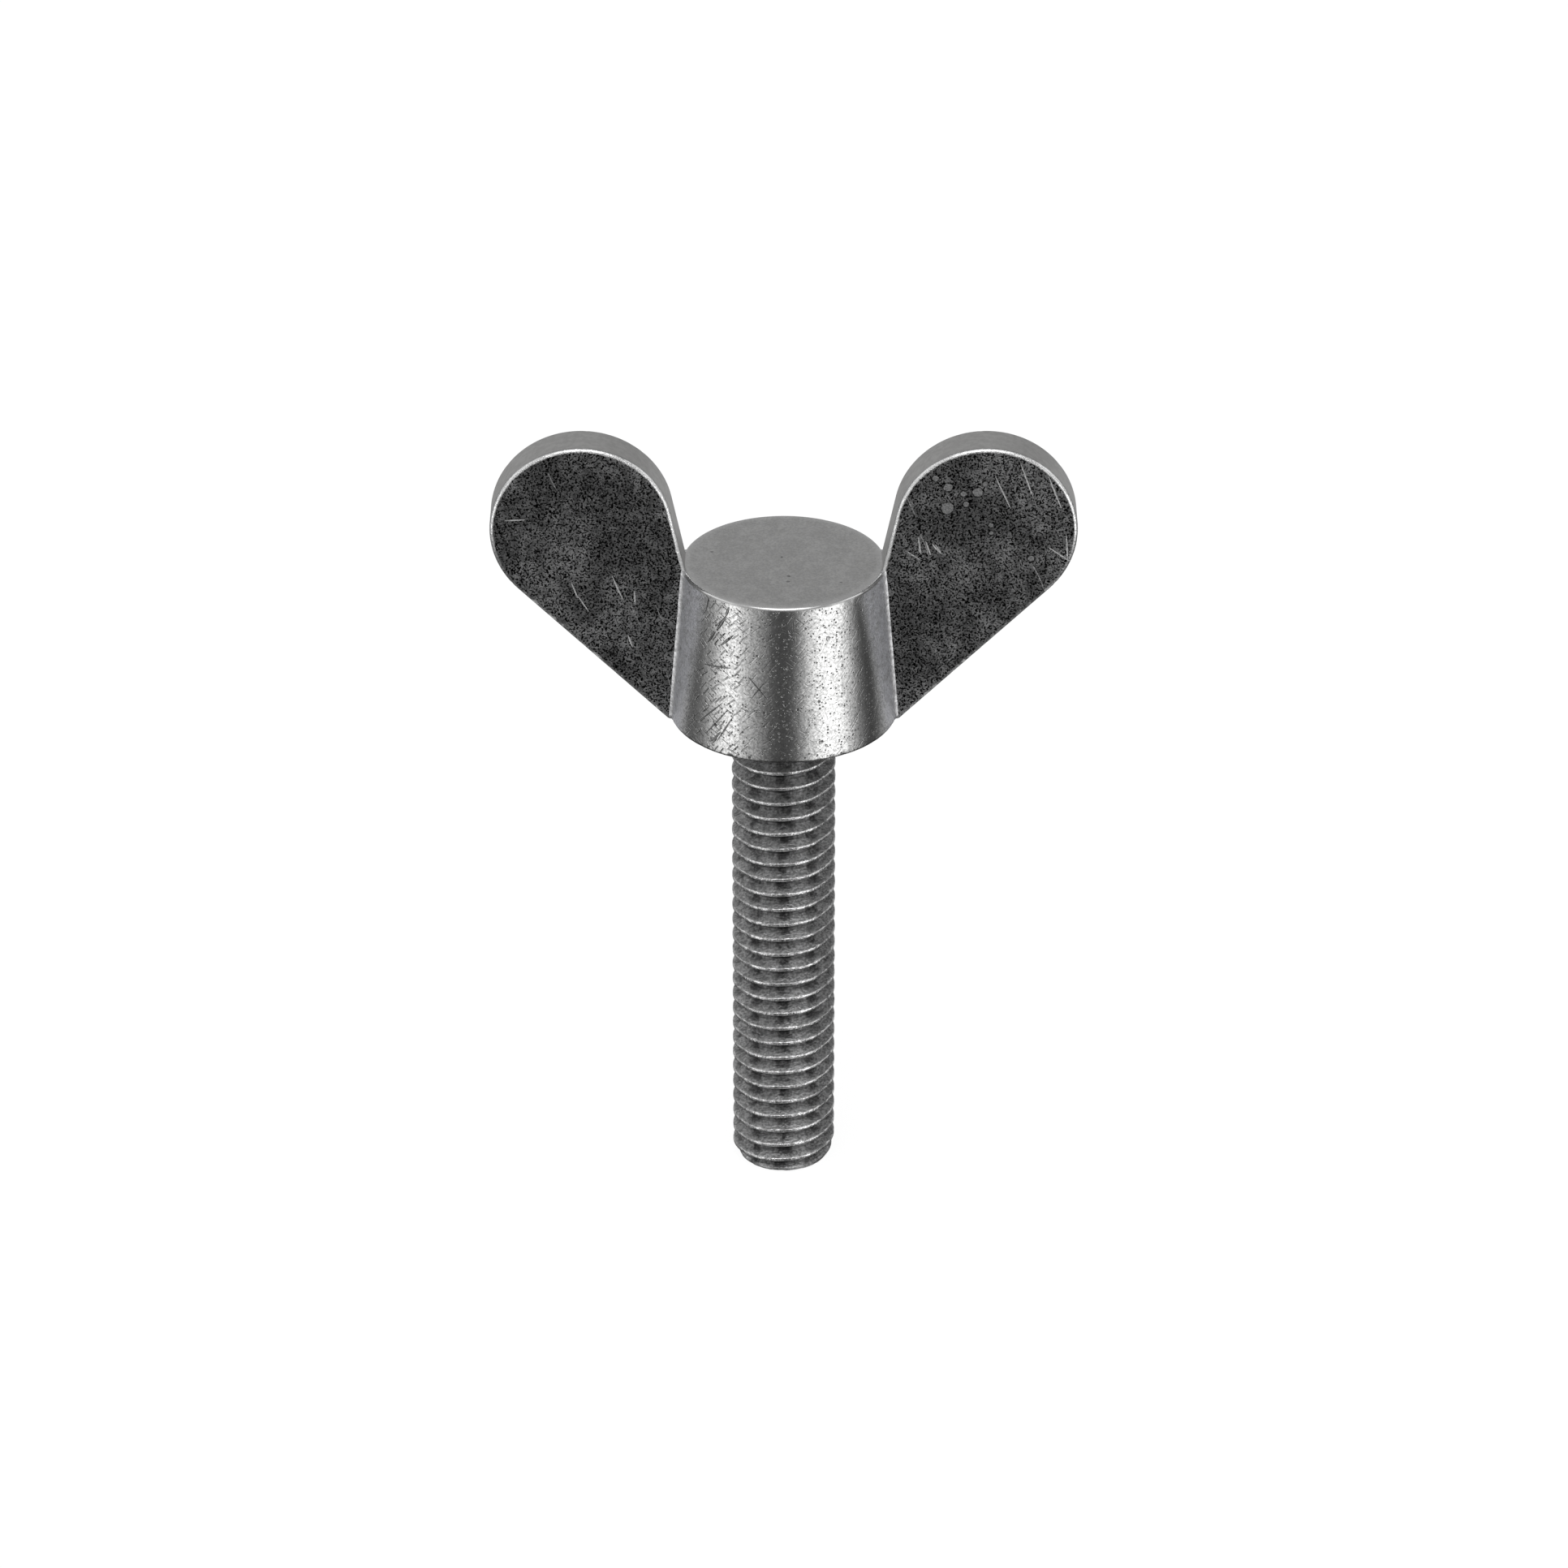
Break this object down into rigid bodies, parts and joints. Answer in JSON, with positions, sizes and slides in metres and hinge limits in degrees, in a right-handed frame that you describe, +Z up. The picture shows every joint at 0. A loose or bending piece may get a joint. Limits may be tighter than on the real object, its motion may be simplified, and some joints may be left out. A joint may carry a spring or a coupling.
{
  "type": "wing screw",
  "caption": "Wing screw: a tapered round hub with two flat rounded finger wings and a right-hand threaded stud, for clamping by hand.",
  "frame": {"origin": "centre of the hub's bearing face, on the stud's axis", "axes": "+Z up the screw's axis through the head, -Z along the stud, +X and -X towards the right and left wings, -Y the front"},
  "size_m": [0.033, 0.013, 0.0468],
  "materials": {
    "hub_steel": "turned and polished, scratched",
    "wing_steel": "blackened faces, bare worn edges",
    "braze_alloy": "bright silver braze",
    "stud_steel": "rolled thread, oily grey"
  },
  "bodies": {
    "root": {"hub": "hub_steel", "wing_left": "wing_steel", "wing_right": "wing_steel", "braze_fillet_front_left": "braze_alloy", "braze_fillet_front_right": "braze_alloy", "braze_fillet_rear_left": "braze_alloy", "braze_fillet_rear_right": "braze_alloy", "braze_ring": "braze_alloy", "threaded_stud": "stud_steel"}
  },
  "joints": []
}
